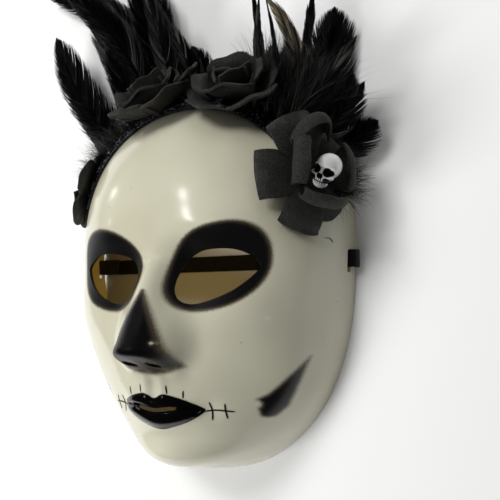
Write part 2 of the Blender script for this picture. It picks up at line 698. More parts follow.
def drawn_line(bm, points, width):
    """A raised line of paint that follows the face, thinner towards its ends"""
    route, _ = smooth_route([(x, y, 0) for x, y in points], LINE_STEP)
    line = bmesh.new()
    corners = bmesh.ops.create_grid(line, x_segments=len(route) - 1, y_segments=2, size=1)["verts"]
    for v in corners:
        ring = round((v.co.x + 1) / 2 * (len(route) - 1))
        along = (route[min(ring + 1, len(route) - 1)] - route[max(ring - 1, 0)]).normalized()
        thin = min(0.35 + 0.3 * min(ring, len(route) - 1 - ring), 1)
        place = route[ring] + Vector((-along.y, along.x, 0)) * (v.co.y * width / 2 * thin)
        lift = LINE_HEIGHT - 0.16 * abs(v.co.y)
        away = face_normal(place.x, place.y)
        v.co = Vector((place.x, place.y, face_height(place.x, place.y))) + Vector(away) * lift
    bmesh.ops.recalc_face_normals(line, faces=line.faces)
    if sum(f.normal.z for f in line.faces) < 0:
        bmesh.ops.reverse_faces(line, faces=line.faces)
    bmesh.ops.solidify(line, geom=list(line.faces), thickness=LINE_HEIGHT)
    take_in(bm, line)


def take_in(bm, other):
    """Adds another bmesh's faces, and frees it"""
    mesh = bpy.data.meshes.new("added")
    other.to_mesh(mesh)
    other.free()
    bm.from_mesh(mesh)
    bpy.data.meshes.remove(mesh)


stitch_bm = bmesh.new()
for stitch in STITCHES:
    drawn_line(stitch_bm, stitch, STITCH_WIDTH)
drawn_line(stitch_bm, FIBRE, FIBRE_WIDTH)

# Black paint marker on plastic: a satin line, a little brown where it is thin
stitch_material, _ = new_material("black_paint_marker", "#191612", 0.45)
stitches = finished_piece("stitches", stitch_bm, [stitch_material], [])
shade_smooth(stitches, 60)

# Glitter band
# A stiff black trim 24 mm wide, glued round the forehead under the flowers. Coarse hexagonal
# glitter is scattered over it, and a two-strand glitter cord is laid along it.
GLUE_GAP = 0.45
BAND_FROM = 158.0
BAND_TO = 22.0
BAND_LOW = 15.0
BAND_HIGH = 39.0
BAND_THICKNESS = 1.2
BAND_COLUMNS = 150
BAND_ROWS = 14
FLAKE_COUNT = 4200
FLAKE_RADIUS = (0.25, 0.5)
FLAKE_THICKNESS = 0.06
FLAKE_LEAN = 0.33
FLAKE_BATCH = 60
CORD_FROM = 80.0
CORD_TO = 154.0
CORD_HEIGHT = 34.6
CORD_RADIUS = 1.0
CORD_TWIST = 5.5
CORD_SECTION = 14
CORD_STEP = 0.6
CORD_KNOTS = 110
CORD_FLAKES = 700

random.seed(11)
dice = np.random.default_rng(17)


def sheet_grid(columns, rows, place_at, thickness):
    """A sheet from a grid: its corners go where place_at puts fractions along and across, and the
    thickness is measured into its back"""
    bm = bmesh.new()
    corners = bmesh.ops.create_grid(bm, x_segments=columns, y_segments=rows, size=1)["verts"]
    part = np.array([v.co[:2] for v in corners]) / 2 + 0.5
    for v, place in zip(corners, place_at(part[:, 0], part[:, 1])):
        v.co = place
    bmesh.ops.recalc_face_normals(bm, faces=bm.faces)
    bmesh.ops.solidify(bm, geom=list(bm.faces), thickness=thickness)
    return bm


def band_place(s, t):
    """The band's outer face, a little wrinkled"""
    wrinkle = 0.15 * np.sin(90 * s + 3 * t) * np.sin(7 * t) + 0.1 * np.sin(41 * s)
    degrees = BAND_TO + s * (BAND_FROM - BAND_TO)
    points, normals = side_points(degrees, BAND_LOW + t * (BAND_HIGH - BAND_LOW))
    return points + normals * (GLUE_GAP + BAND_THICKNESS + wrinkle)[:, None]


band_bm = sheet_grid(BAND_COLUMNS, BAND_ROWS, band_place, BAND_THICKNESS)

# Black glitter trim: a matte woven ground that hardly shows between the flakes
band_material, band_shader = new_material("black_trim", "#0d0d0f", 0.75)
band_place_node = add_node(band_material, "ShaderNodeTexCoord").outputs["Object"]
band_grain = add_node(
    band_material, "ShaderNodeTexVoronoi", {"Vector": band_place_node}, inputs={"Scale": mm_scale(1.1)},
)
band_tone = add_node(band_material, "ShaderNodeValToRGB", {"Fac": band_grain.outputs["Color"]})
band_tone.color_ramp.elements[0].color = linear("#060607")
band_tone.color_ramp.elements[1].color = linear("#232328")
band_bump = add_node(
    band_material, "ShaderNodeBump", {"Height": band_grain.outputs["Distance"]},
    inputs={"Strength": 0.8, "Distance": 0.0003},
)
band_material.node_tree.links.new(band_tone.outputs["Color"], band_shader.inputs["Base Color"])
band_material.node_tree.links.new(band_bump.outputs["Normal"], band_shader.inputs["Normal"])

# Aluminised polyester glitter, black to silver blue. Drawn about 1 mm across, twice the real size,
# so that single flakes show.
glitter_material, glitter_shader = new_material("glitter_flakes", "#30323a", 0.3, Metallic=0.7)
glitter_cells = add_node(
    glitter_material, "ShaderNodeTexVoronoi",
    {"Vector": add_node(glitter_material, "ShaderNodeTexCoord").outputs["Object"]},
    inputs={"Scale": mm_scale(1.6)},
)
glitter_tone = add_node(glitter_material, "ShaderNodeValToRGB", {"Fac": glitter_cells.outputs["Color"]})
glitter_tone.color_ramp.elements[0].position = 0.35
glitter_tone.color_ramp.elements[0].color = linear("#0e0e0f")
glitter_tone.color_ramp.elements[1].position = 0.8
glitter_tone.color_ramp.elements[1].color = linear("#d4d6da")
glitter_links = glitter_material.node_tree.links
glitter_links.new(glitter_tone.outputs["Color"], glitter_shader.inputs["Base Color"])
GLITTER = 1


def scatter_flakes(bm, places, normals):
    """Hexagonal flakes lying on a surface, each tipped a little its own way"""
    leans = unit(normals + dice.normal(0, FLAKE_LEAN, normals.shape))
    for first in range(0, len(places), FLAKE_BATCH):
        batch = bmesh.new()
        for place, lean in zip(places[first:first + FLAKE_BATCH], leans[first:first + FLAKE_BATCH]):
            turn = Vector(lean).to_track_quat("Z", "Y").to_matrix().to_4x4()
            radius = random.uniform(*FLAKE_RADIUS)
            bmesh.ops.create_cone(
                batch, cap_ends=True, segments=6, radius1=radius, radius2=radius * 0.96,
                depth=FLAKE_THICKNESS, matrix=Matrix.Translation(place) @ turn,
            )
        for face in batch.faces:
            face.material_index = GLITTER
        take_in(bm, batch)


flake_degrees = BAND_TO + dice.random(FLAKE_COUNT) * (BAND_FROM - BAND_TO)
flake_heights = BAND_LOW + dice.random(FLAKE_COUNT) ** 0.7 * (BAND_HIGH - BAND_LOW)
flake_feet, flake_normals = side_points(flake_degrees, flake_heights)
scatter_flakes(band_bm, flake_feet + flake_normals * (GLUE_GAP + BAND_THICKNESS + 0.2), flake_normals)
band_materials = [band_material, glitter_material]
finished_piece("trim_band", band_bm, band_materials, ["glitter_band"])

cord_part = np.linspace(0, 1, CORD_KNOTS)
cord_wander = 0.7 * np.sin(23 * cord_part) + 0.4 * np.sin(61 * cord_part + 1)
cord_line, _ = side_points(
    CORD_FROM + cord_part * (CORD_TO - CORD_FROM), CORD_HEIGHT + cord_wander,
    (GLUE_GAP + BAND_THICKNESS + CORD_RADIUS + 0.25 * np.sin(47 * cord_part))[:, None],
)
cord_route, cord_length = smooth_route(cord_line, CORD_STEP)


def cord_point(ring, step):
    """A point of a cord of two strands twisted round each other, its ends drawn in"""
    along = (cord_route[min(ring + 1, len(cord_route) - 1)] - cord_route[max(ring - 1, 0)]).normalized()
    across = along.cross(Vector((0, 0, 1))).normalized()
    angle = 2 * math.pi * step / CORD_SECTION
    turned = angle - 2 * math.pi * ring * CORD_STEP / CORD_TWIST
    reach = CORD_RADIUS * (0.6 + 0.4 * abs(math.cos(turned)))
    ends = min(ring, len(cord_route) - 1 - ring)
    reach *= min(0.5 + 0.3 * ends, 1)
    return cord_route[ring] + (across * math.cos(angle) + across.cross(along) * math.sin(angle)) * reach


cord_size = (cord_length, 2 * math.pi * CORD_RADIUS)
cord_bm = swept_grid(len(cord_route) - 1, CORD_SECTION, cord_point, cord_size)
cord_places = []
cord_normals = []
for _ in range(CORD_FLAKES):
    ring = random.randrange(2, len(cord_route) - 2)
    cord_places.append(cord_point(ring, random.uniform(0, CORD_SECTION)))
    cord_normals.append((cord_places[-1] - cord_route[ring]).normalized())
scatter_flakes(cord_bm, np.array(cord_places), np.array(cord_normals))
finished_piece("laid_cord", cord_bm, band_materials, [])

# Foam flowers
# Petals are cut from black 1.6 mm foam sheet, curled over heat and glued in rings round a disc:
# a flower with the skull bead, two roses side by side over the forehead and one at the temple.
FOAM = 1.6
PIECE_GAP = 0.4
PETAL_COLUMNS = 14
PETAL_ROWS = 14
PETAL_BEND_STEPS = 12
PETAL_FOOT = 0.45
WIDE_FROM = 0.6
ROLL_FROM = 0.66
DISC_HEIGHT = 2.4
DISC_MIDDLE = 1.6
CUT_EDGE_ROUND = 0.34
RUBBED_CORNER = 1.2
INSIDE_FILL = 0.995

SKULL_FLOWER = {"round": 25, "height": 34, "standoff": 4.5, "axis": (0.76, 0.1, 0.64), "disc": 8.5}
LEFT_ROSE = {"round": 101, "height": 36, "standoff": 4, "axis": (-0.22, 0.75, 0.62), "disc": 8}
RIGHT_ROSE = {"round": 68, "height": 33, "standoff": 4, "axis": (0.1, 0.73, 0.68), "disc": 8}
TEMPLE_FLOWER = {"round": 152, "height": 24, "standoff": 1.6, "axis": (-0.88, 0.3, 0.36), "disc": 7}


def petal_ring(count, first_azimuth, **shape):
    """One ring of like petals, each a little different from the next"""
    ring = []
    for k in range(count):
        petal = dict(shape, azimuth=first_azimuth + 360 * k / count + random.uniform(-6, 6))
        petal["tilt"] += random.uniform(-4, 4)
        petal["curl"] += random.uniform(-8, 8)
        petal["length"] *= random.uniform(0.94, 1.06)
        ring.append(petal)
    return ring


def flower_frame(place):
    """A flower's foot on the band, its axis, and the directions its petals are counted from"""
    foot = side_point(place["round"], place["height"], GLUE_GAP + BAND_THICKNESS + place["standoff"])
    axis = Vector(place["axis"]).normalized()
    right = Vector((0, 1, 0)).cross(axis).normalized()
    return foot, axis, right, axis.cross(right)


def clear_of_mask(points, gap):
    """Moves points out until they are gap millimetres off the mask and over the surface under it"""
    for _ in range(3):
        x, y = points[:, 0], points[:, 1]
        over = outline_fill(x, y) < INSIDE_FILL
        normal = face_normal(x, y)
        depth = (points[:, 2] - face_height(x, y)) * normal[:, 2]
        points = points + normal * (np.maximum(gap - depth, 0) * over)[:, None]
    points[:, 2] = np.maximum(points[:, 2], gap)
    return points


def petal_places(flower, petal, s, t):
    """The middle of a petal's sheet: it leaves the disc at an angle and curls along its length,
    its tip rolls over further, its sides cup, and a crease may run down it"""
    foot, axis, right, up = (np.array(v) for v in flower)
    azimuth = math.radians(petal["azimuth"])
    outward = right * math.cos(azimuth) + up * math.sin(azimuth)
    sideways = up * math.cos(azimuth) - right * math.sin(azimuth)
    across = 2 * t - 1
    reach = s * petal["length"] * (1 - petal.get("corner", 0.2) * np.abs(across) ** 3 * s)
    out = np.full_like(s, petal["start"])
    rise = np.full_like(s, petal["rise"])
    for k in range(PETAL_BEND_STEPS):
        part = (k + 0.5) * s / PETAL_BEND_STEPS
        roll = petal.get("roll", 0) * np.clip((part - ROLL_FROM) / (1 - ROLL_FROM), 0, 1)
        angle = np.radians(petal["tilt"] + petal["curl"] * part + roll)
        out = out + np.cos(angle) * reach / PETAL_BEND_STEPS
        rise = rise + np.sin(angle) * reach / PETAL_BEND_STEPS
    widening = np.sin(np.minimum(s / WIDE_FROM, 1) * math.pi / 2)
    half_width = petal["width"] / 2 * (PETAL_FOOT + (1 - PETAL_FOOT) * widening)
    cup = petal["cup"] * across ** 2 * np.minimum(s * 2, 1)
    fold = petal.get("fold", 0) * np.abs(across) * s
    wave = petal.get("wave", 0.4) * np.sin(5 * across + 4 * s + petal["azimuth"]) * s
    height = rise + cup + fold + wave
    return foot + axis * height[:, None] + outward * out[:, None] + sideways * (across * half_width)[:, None]


def add_petal(bm, flower, petal):
    """One petal: a curled grid with the sheet's thickness and softly rounded cut edges"""
    gap = GLUE_GAP + BAND_THICKNESS + PIECE_GAP + FOAM

    def place_at(s, t):
        return clear_of_mask(petal_places(flower, petal, s, t), gap)

    sheet = sheet_grid(PETAL_COLUMNS, PETAL_ROWS, place_at, FOAM)
    wear = sheet.verts.layers.float.new("wear")
    sheet.normal_update()
    cut = [e for e in sheet.edges if e.calc_face_angle(0) > 1.0]
    bmesh.ops.bevel(
        sheet, geom=cut, offset=CUT_EDGE_ROUND, segments=2, profile=0.5, affect="EDGES", material=-1,
        clamp_overlap=True,
    )
    foot, axis = flower[0], flower[1]
    petal_reach = petal["start"] + petal["length"]
    for v in sheet.verts:
        offset = v.co - foot
        outward = (offset - axis * offset.dot(axis)).length / petal_reach
        at_corner = len(v.link_faces) > 4
        v[wear] = RUBBED_CORNER if at_corner else min(outward, 1)
    take_in(bm, sheet)


def foam_flower(name, place, petals, node):
    """A flower: its petals, glued round a disc that is glued to the band"""
    bm = bmesh.new()
    bm.verts.layers.float.new("wear")
    flower = flower_frame(place)
    foot, axis, right, up = flower
    turn = Matrix((right, up, axis)).transposed().to_4x4()
    bmesh.ops.create_cone(
        bm, cap_ends=True, segments=32, radius1=place["disc"], radius2=place["disc"] - 0.4,
        depth=DISC_HEIGHT, matrix=Matrix.Translation(foot + axis * DISC_MIDDLE) @ turn,
    )
    for petal in petals:
        add_petal(bm, flower, petal)
    shade_smooth(finished_piece(name, bm, [foam_material], [node]), 42)


# Craft foam (closed-cell EVA), die cut: matte charcoal with a fine cell grain, greyer where it is
# rubbed. The cells are drawn 0.7 mm across, coarser than real, to show.
foam_material, foam_shader = new_material("black_craft_foam", "#242423", 0.7, Specular_IOR_Level=0.35)
foam_place = add_node(foam_material, "ShaderNodeTexCoord").outputs["Object"]
foam_cells = add_node(
    foam_material, "ShaderNodeTexNoise", {"Vector": foam_place},
    inputs={"Scale": mm_scale(0.7), "Detail": 3.0, "Roughness": 0.9},
)
foam_cloud = add_node(
    foam_material, "ShaderNodeTexNoise", {"Vector": foam_place},
    inputs={"Scale": mm_scale(8), "Detail": 3.0},
)
foam_wear = add_node(foam_material, "ShaderNodeAttribute", attribute_name="wear")
foam_rubbed = add_node(
    foam_material, "ShaderNodeMath", {0: foam_wear.outputs["Fac"], 1: foam_cloud.outputs["Fac"]},
    operation="MULTIPLY",
)
foam_edge = add_node(
    foam_material, "ShaderNodeMapRange", {"Value": foam_rubbed.outputs[0]},
    inputs={"From Min": 0.45, "From Max": 0.7, "To Min": 0.0, "To Max": 0.2},
)
foam_grain = add_node(
    foam_material, "ShaderNodeMath", {0: foam_cells.outputs["Fac"], 2: foam_edge.outputs["Result"]},
    operation="MULTIPLY_ADD", inputs={1: 0.9},
)
foam_tone = add_node(foam_material, "ShaderNodeValToRGB", {"Fac": foam_grain.outputs[0]})
foam_tone.color_ramp.elements[0].position = 0.34
foam_tone.color_ramp.elements[0].color = linear("#151514")
foam_tone.color_ramp.elements[1].position = 0.84
foam_tone.color_ramp.elements[1].color = linear("#5a5955")
foam_bump = add_node(
    foam_material, "ShaderNodeBump", {"Height": foam_cells.outputs["Fac"]},
    inputs={"Strength": 0.8, "Distance": 0.0003},
)
foam_material.node_tree.links.new(foam_tone.outputs["Color"], foam_shader.inputs["Base Color"])
foam_material.node_tree.links.new(foam_bump.outputs["Normal"], foam_shader.inputs["Normal"])

# The flower of the skull: five petals lie open round it and four cup the bead
random.seed(5)
outer_petal = {"start": 7, "rise": 1.2, "tilt": 16, "curl": -30, "roll": -50, "cup": -1.5, "corner": 0.16}
cup_petal = {"start": 7, "rise": 2.5, "corner": 0.3, "wave": 0.6}
skull_petals = [
    dict(outer_petal, azimuth=183, length=28, width=27, cup=-2, corner=0.08, roll=-40),
    dict(outer_petal, azimuth=116, length=28, width=28, tilt=20, curl=-20, roll=-20, corner=0.06),
    dict(outer_petal, azimuth=252, length=28, width=24, tilt=12, corner=0.1),
    dict(outer_petal, azimuth=305, length=22, width=18, tilt=4),
    dict(outer_petal, azimuth=52, length=18, width=28, tilt=20, curl=-10),
    dict(cup_petal, azimuth=172, length=26, width=24, tilt=30, curl=60, cup=-1, roll=100, corner=0.2),
    dict(
        cup_petal, azimuth=106, length=34, width=20, tilt=20, curl=50, cup=-3, fold=-1, roll=120,
        corner=0.5,
    ),
    dict(cup_petal, azimuth=4, length=21, width=24, tilt=32, curl=60, cup=1, roll=90, fold=0.5),
    dict(cup_petal, azimuth=262, length=25, width=24, tilt=22, curl=50, cup=1, roll=100, fold=0.5),
]
foam_flower("flower_of_the_skull", SKULL_FLOWER, skull_petals, "skull_flower")


# The petals at a rose's back stand up against the feathers, and on the left one they are shorter
BACK_TILT = 22
LEFT_ROSE_SHORTER = 0.3
RIGHT_ROSE_SHORTER = 0.04


def rose_petals(first, shorter):
    """Three rings of petals, steeper and smaller towards the middle"""
    outer = petal_ring(
        5, first, length=26, width=32, start=6.5, rise=0.6, tilt=14, curl=40, cup=1.5, roll=-60, corner=0.3,
        wave=0.9, fold=-1.5,
    )
    middle = petal_ring(
        4, first + 40, length=23, width=30, start=5, rise=2, tilt=34, curl=40, cup=2, roll=-60, corner=0.3,
        wave=0.9, fold=-1.5,
    )
    inner = petal_ring(
        3, first + 80, length=16, width=21, start=3, rise=4, tilt=56, curl=40, cup=3, roll=-20, wave=0.6,
    )
    petals = outer + middle + inner
    for petal in petals:
        backward = max(math.sin(math.radians(petal["azimuth"])), 0)
        petal["tilt"] += BACK_TILT * backward
        petal["length"] *= 1 - shorter * backward
    return petals


# A narrow petal lies between the roses
between_petal = {
    "azimuth": 14, "length": 30, "width": 14, "start": 8, "rise": 3.5, "tilt": 22, "curl": -6, "cup": 0.5,
    "corner": 0.1,
}
left_rose_petals = rose_petals(262, LEFT_ROSE_SHORTER) + [between_petal]
foam_flower("rose_left", LEFT_ROSE, left_rose_petals, "forehead_rose_left")
right_rose_petals = rose_petals(238, RIGHT_ROSE_SHORTER)
foam_flower("rose_right", RIGHT_ROSE, right_rose_petals, "forehead_rose_right")
temple_petals = petal_ring(
    5, 90, length=22, width=24, start=5, rise=0.8, tilt=-4, curl=-6, cup=1, roll=50, corner=0.3,
)
temple_petals += petal_ring(3, 60, length=11, width=16, start=4, rise=1.6, tilt=8, curl=20, cup=2)
foam_flower("flower_at_the_temple", TEMPLE_FLOWER, temple_petals, "temple_flower")

# Skull bead
# A small cast skull, nickel plated and blackened in its hollows, glued in the middle of the flower.
SKULL_LIFT = 15.0
SKULL_SHIFT = Vector((0.0, -2.2, 0.0))
SKULL_FACING = Vector((-0.12, -0.2, 0.97)).normalized()
SKULL_CROWN = Vector((0.476, 0.857, -0.146))

# The skull's cranium, face, jaw, cheekbones and brow are egg shapes: centre and radii
SKULL_PARTS = [
    ((0, 2.3, -1.0), (6.6, 6.6, 7.4)), ((0, -2.2, 2.2), (5.4, 4.8, 4.6)),
    ((0, -6.0, 2.6), (4.0, 3.2, 3.6)), ((4.5, -2.2, 3.2), (1.9, 1.1, 2.4)),
    ((-4.5, -2.2, 3.2), (1.9, 1.1, 2.4)), ((0, 2.2, 4.3), (5.6, 1.0, 2.5)),
]
SKULL_BLEND = 16
TEETH_Y = -5.6
TOOTH_WIDTH = 1.15


def reach_of_part(direction, centre, radii):
    """How far an egg shape reaches from the origin in each direction"""
    d = direction / radii
    c = np.array(centre) / radii
    dd, dc, cc = (d * d).sum(axis=1), (d * c).sum(axis=1), (c * c).sum()
    inside = np.maximum(dc * dc - dd * (cc - 1), 0)
    return np.where(inside > 0, np.maximum((dc + np.sqrt(inside)) / dd, 0), 0)


def pit(x, y, cx, cy, rx, ry):
    """1 inside an oval and 0 outside it, with a steep side between"""
    return 1 - ramp((np.hypot((x - cx) / rx, (y - cy) / ry) - 0.8) / 0.4)


def skull_hollows(x, y, z):
    """How deep the sockets, nose, cheeks and gaps between the teeth are cut at each point"""
    side = np.abs(x)
    socket = 2.4 * pit(side, y, 3.2, 0.2, 2.2, 2.1)
    nose = 1.4 * pit(side, y, 0.6, -2.7, 1.0, 1.3)
    cheek_hollow = 1.6 * pit(side, y, 3.9, -4.3, 1.5, 1.3)
    teeth = pit(side, y, 0, TEETH_Y, 3.6, 1.7)
    gaps = 0.5 * teeth * (np.cos(2 * math.pi * side / TOOTH_WIDTH) > 0.55)
    bite = 0.7 * teeth * (np.abs(y - TEETH_Y) < 0.26)
    return (socket + nose + cheek_hollow + gaps + bite) * (z > 0)


skull_bm = bmesh.new()
dark_layer = skull_bm.verts.layers.float.new("dark")
bmesh.ops.create_icosphere(skull_bm, subdivisions=7, radius=1)
sphere = unit(np.array([v.co for v in skull_bm.verts]))
reaches = np.stack([reach_of_part(sphere, centre, radii) for centre, radii in SKULL_PARTS])
skin = sphere * ((reaches ** SKULL_BLEND).sum(axis=0) ** (1 / SKULL_BLEND))[:, None]
hollows = skull_hollows(skin[:, 0], skin[:, 1], skin[:, 2])
for v, place, away, depth in zip(skull_bm.verts, skin, sphere, hollows):
    v[dark_layer] = min(depth / 0.8, 1)
    v.co = place - away * depth
skull_side = SKULL_CROWN.cross(SKULL_FACING).normalized()
skull_turn = Matrix((skull_side, SKULL_FACING.cross(skull_side), SKULL_FACING)).transposed().to_4x4()
skull_foot, skull_axis, _, _ = flower_frame(SKULL_FLOWER)
skull_place = Matrix.Translation(skull_foot + skull_axis * SKULL_LIFT + SKULL_SHIFT) @ skull_turn
bmesh.ops.transform(skull_bm, matrix=skull_place, verts=skull_bm.verts)

# Cast zinc with bright nickel plate, tumbled: satin silver, black oxide left in the hollows
skull_material, skull_shader = new_material("nickel_plated_zinc", "#d6d6d4", 0.45, Metallic=0.25)
skull_dark = add_node(skull_material, "ShaderNodeAttribute", attribute_name="dark")
skull_patina = add_node(
    skull_material, "ShaderNodeTexNoise",
    {"Vector": add_node(skull_material, "ShaderNodeTexCoord").outputs["Object"]},
    inputs={"Scale": mm_scale(2.5), "Detail": 3.0},
)
skull_grime = add_node(
    skull_material, "ShaderNodeMath", {0: skull_patina.outputs["Fac"], 2: skull_dark.outputs["Fac"]},
    operation="MULTIPLY_ADD", inputs={1: 0.35},
)
skull_tone = add_node(skull_material, "ShaderNodeValToRGB", {"Fac": skull_grime.outputs[0]})
skull_tone.color_ramp.elements[0].position = 0.25
skull_tone.color_ramp.elements[0].color = linear("#f0f0ee")
skull_tone.color_ramp.elements[1].position = 0.6
skull_tone.color_ramp.elements[1].color = linear("#0c0c0c")
skull_material.node_tree.links.new(skull_tone.outputs["Color"], skull_shader.inputs["Base Color"])
skull = finished_piece("little_skull", skull_bm, [skull_material], ["skull_bead"])
shade_smooth(skull, 180)

# Glue
# A run of hot-melt glue squeezed out at the foot of the right rose, on the side of the other one:
# clear glue that dried with a cold, bluish gloss.
# Each blob: direction round the rose in degrees, way out, height over the rose's foot and radius
GLUE_BLOBS = [
    (193, 17, 6.4, 1.5), (198, 15.5, 6.2, 2.0), (206, 14, 6.4, 1.6), (215, 15, 6.0, 1.2),
    (228, 13.5, 6.2, 1.8), (238, 15, 5.8, 2.0), (246, 13, 6.2, 1.6), (250, 15.5, 5.2, 1.0),
    (188, 19, 6.0, 0.9),
]
BLOB_FLATNESS = 0.7

glue_bm = bmesh.new()
glue_foot, glue_axis, glue_right, glue_up = flower_frame(RIGHT_ROSE)
glue_turn = Matrix((glue_right, glue_up, glue_axis)).transposed().to_4x4()
for azimuth, out, rise, radius in GLUE_BLOBS:
    outward = glue_right * math.cos(math.radians(azimuth)) + glue_up * math.sin(math.radians(azimuth))
    place = Matrix.Translation(glue_foot + outward * out + glue_axis * rise)
    flat = place @ glue_turn @ Matrix.Diagonal((1, 1, BLOB_FLATNESS, 1))
    bmesh.ops.create_icosphere(glue_bm, subdivisions=3, radius=radius, matrix=flat)

# Hot-melt glue: half clear, shiny as it cooled, bluish against the black foam
glue_material, _ = new_material(
    "hot_melt_glue", "#8f9fc0", 0.12, Transmission_Weight=0.25, IOR=1.48, Coat_Weight=0.6,
)
glue = finished_piece("glue_run", glue_bm, [glue_material], [])
shade_smooth(glue, 180)

# Feathers
# Two sprays of cockerel feathers dyed black, glued in five layers behind the flowers. Each has a
# quill, two vanes of barbs that split into locks, and soft down round its foot.
# Each layer: height at the mask, and how steeply it climbs away from it in degrees
FEATHER_LAYERS = [(7, 1), (10.5, 6), (14, 11), (17.5, 16.5), (21, 22)]
QUILL_WIDTH = 1.2
QUILL_RINGS = 16
QUILL_TIP_WIDTH = 0.15
QUILL_STANDS_PROUD = 0.15
QUILL_TONE = 0.15
WIDEST = 0.45
VANE_FROM = 0.05
VANE_TO = 0.985
VANE_SHARE = 0.93
SHORTEST_BARB = 1.5
LONGEST_BARB = 60.0
BARB_ANGLES = (0.07, 1.2)
ANGLE_SCATTER = 0.02
LENGTH_SCATTER = 0.03
TONE_SCATTER = 0.25
TIP_FROM = 0.92
LOCK_CHANCE = 0.11
HALVINGS = 14
BARB_RINGS = 5
BARB_GAP = 0.42
BARB_WIDTH = 1.15
BARB_FLATNESS = 0.5
DOWN_WIDTH = 0.34
DOWN_FLATNESS = 0.8
HAIR_CLEARANCE = 0.6

# Long glossy tail feathers, soft hackles, thin curled strips with bare quills, and a bronzed one:
# the barbs' angles at the foot and at the tip, how far they split, the number of down hairs, how
# much softer the right-hand vane is, the longest barb, how blunt the tip is, and how bright the
# barbs are (above 1 where the dye has bronzed)
TAIL = {
    "angles": (46, 16), "split": 0.03, "down": 60, "soft": 1.1, "reach": 30, "blunt": 4.0, "tone": 0.32,
}
HACKLE = {
    "angles": (34, 10), "split": 0.12, "down": 110, "soft": 1.2, "reach": 22, "blunt": 2.6, "tone": 0.48,
}
STRIP = {
    "angles": (18, 8), "split": 0.2, "down": 30, "soft": 1.0, "reach": 13, "blunt": 2.0, "tone": 0.42,
}
BRONZE = {
    "angles": (26, 8), "split": 0.1, "down": 60, "soft": 1.1, "reach": 22, "blunt": 2.4, "tone": 1.2,
}

# Each feather: place round the face in degrees, layer, heading from the forehead axis at the foot
# and how far it turns up to the tip, both in degrees, length, width, twist about the quill in
# degrees, lift of the tip in millimetres, and kind
Plume = namedtuple("Plume", "degrees layer heading bend length width twist lift kind")
LEFT_FEATHERS = [
    (140, 0, -43, 6, 62, 14, 10, 0, HACKLE),
    (134, 1, -44, 14, 99, 31, 8, 2, TAIL),
    (123, 3, -3, 0, 65, 22, -12, 2, TAIL),
    (119, 2, -15, -16, 45, 12, 25, 2, STRIP),
    (118, 1, -34, 8, 99, 27, 6, 0, HACKLE),
    (114, 0, -2, -40, 148, 26, -8, 0, TAIL),
    (113, 4, 6, -32, 84, 24, 14, 2, TAIL),
    (108, 2, -3, -4, 91, 22, -14, 1, TAIL),
    (106, 0, -8, -3, 97, 21, 5, 0, TAIL),
    (102, 3, 0, -6, 71, 21, 16, 2, HACKLE),
    (98, 1, -16, -6, 85, 20, -10, 0, HACKLE),
    (90, 4, -6, -6, 43, 16, 12, 1, HACKLE),
    (88, 2, -7, -8, 33, 16, -8, 0, TAIL),
]
RIGHT_FEATHERS = [
    (70, 1, -7, -6, 30, 16, 10, 0, HACKLE),
    (67, 3, 8, 4, 55, 7, 20, 2, STRIP),
    (66, 2, 6, -6, 64, 7, -20, 0, STRIP),
    (65, 0, 1, 0, 35, 24, 6, 0, HACKLE),
    (58, 1, 14, -6, 37, 24, -10, 0, HACKLE),
    (56, 4, 12, -8, 56, 9, 38, 2, STRIP),
    (52, 2, 20, -4, 66, 13, -12, 0, STRIP),
    (50, 4, 31, -8, 38, 20, 14, 0, HACKLE),
    (48, 3, 21, -30, 69, 20, 38, 1, BRONZE),
    (45, 0, 16, -4, 70, 34, -6, 0, TAIL),
    (43, 4, 32, 12, 54, 14, 12, 0, HACKLE),
    (38, 3, 62, -10, 40, 18, -10, 0, HACKLE),
    (37, 2, 38, -6, 40, 26, 8, 0, HACKLE),
    (34, 1, 78, -10, 31, 24, -8, 0, TAIL),
]


def layer_height(layer, x, y):
    """The slope that a layer's feathers lie on: it climbs away from the mask's rim"""
    height, climb = FEATHER_LAYERS[layer]
    beyond = (1 - 1 / np.sqrt(outline_fill(x, y))) * np.hypot(x, y)
    return height + math.tan(math.radians(climb)) * beyond


def quill_frame(plume, number, s):
    """Points on a quill's line at fractions of its length, and its forward, side and up there"""
    standoff = GLUE_GAP + BAND_THICKNESS + PIECE_GAP + QUILL_WIDTH / 2
    root = side_point(plume.degrees, FEATHER_LAYERS[plume.layer][0], standoff)

    def line(part):
        angle = np.radians(plume.heading + plume.bend * part)
        x = root.x + np.sin(angle) * part * plume.length
        y = root.y + np.cos(angle) * part * plume.length
        z = layer_height(plume.layer, x, y) + plume.lift * np.maximum(part, 0) ** 2
        return np.stack([x, y, z], axis=-1)

    forward = unit(line(s + 0.01) - line(s - 0.01))
    flat_side = unit(np.cross(forward, [0, 0, 1]))
    flat_up = np.cross(flat_side, forward)
    turned = np.radians(plume.twist * (0.4 + s) + 4 * np.sin(5 * s + number))[..., None]
    side = flat_side * np.cos(turned) + flat_up * np.sin(turned)
    return line(s), forward, side, np.cross(side, forward)


def half_vane(s, width, blunt):
    """How far a vane reaches from the quill at fractions of the feather's length"""
    root = ramp((s - 0.02) / 0.26)
    return width / 2 * root * (1 - np.maximum((s - WIDEST) / (1.02 - WIDEST), 0) ** blunt)


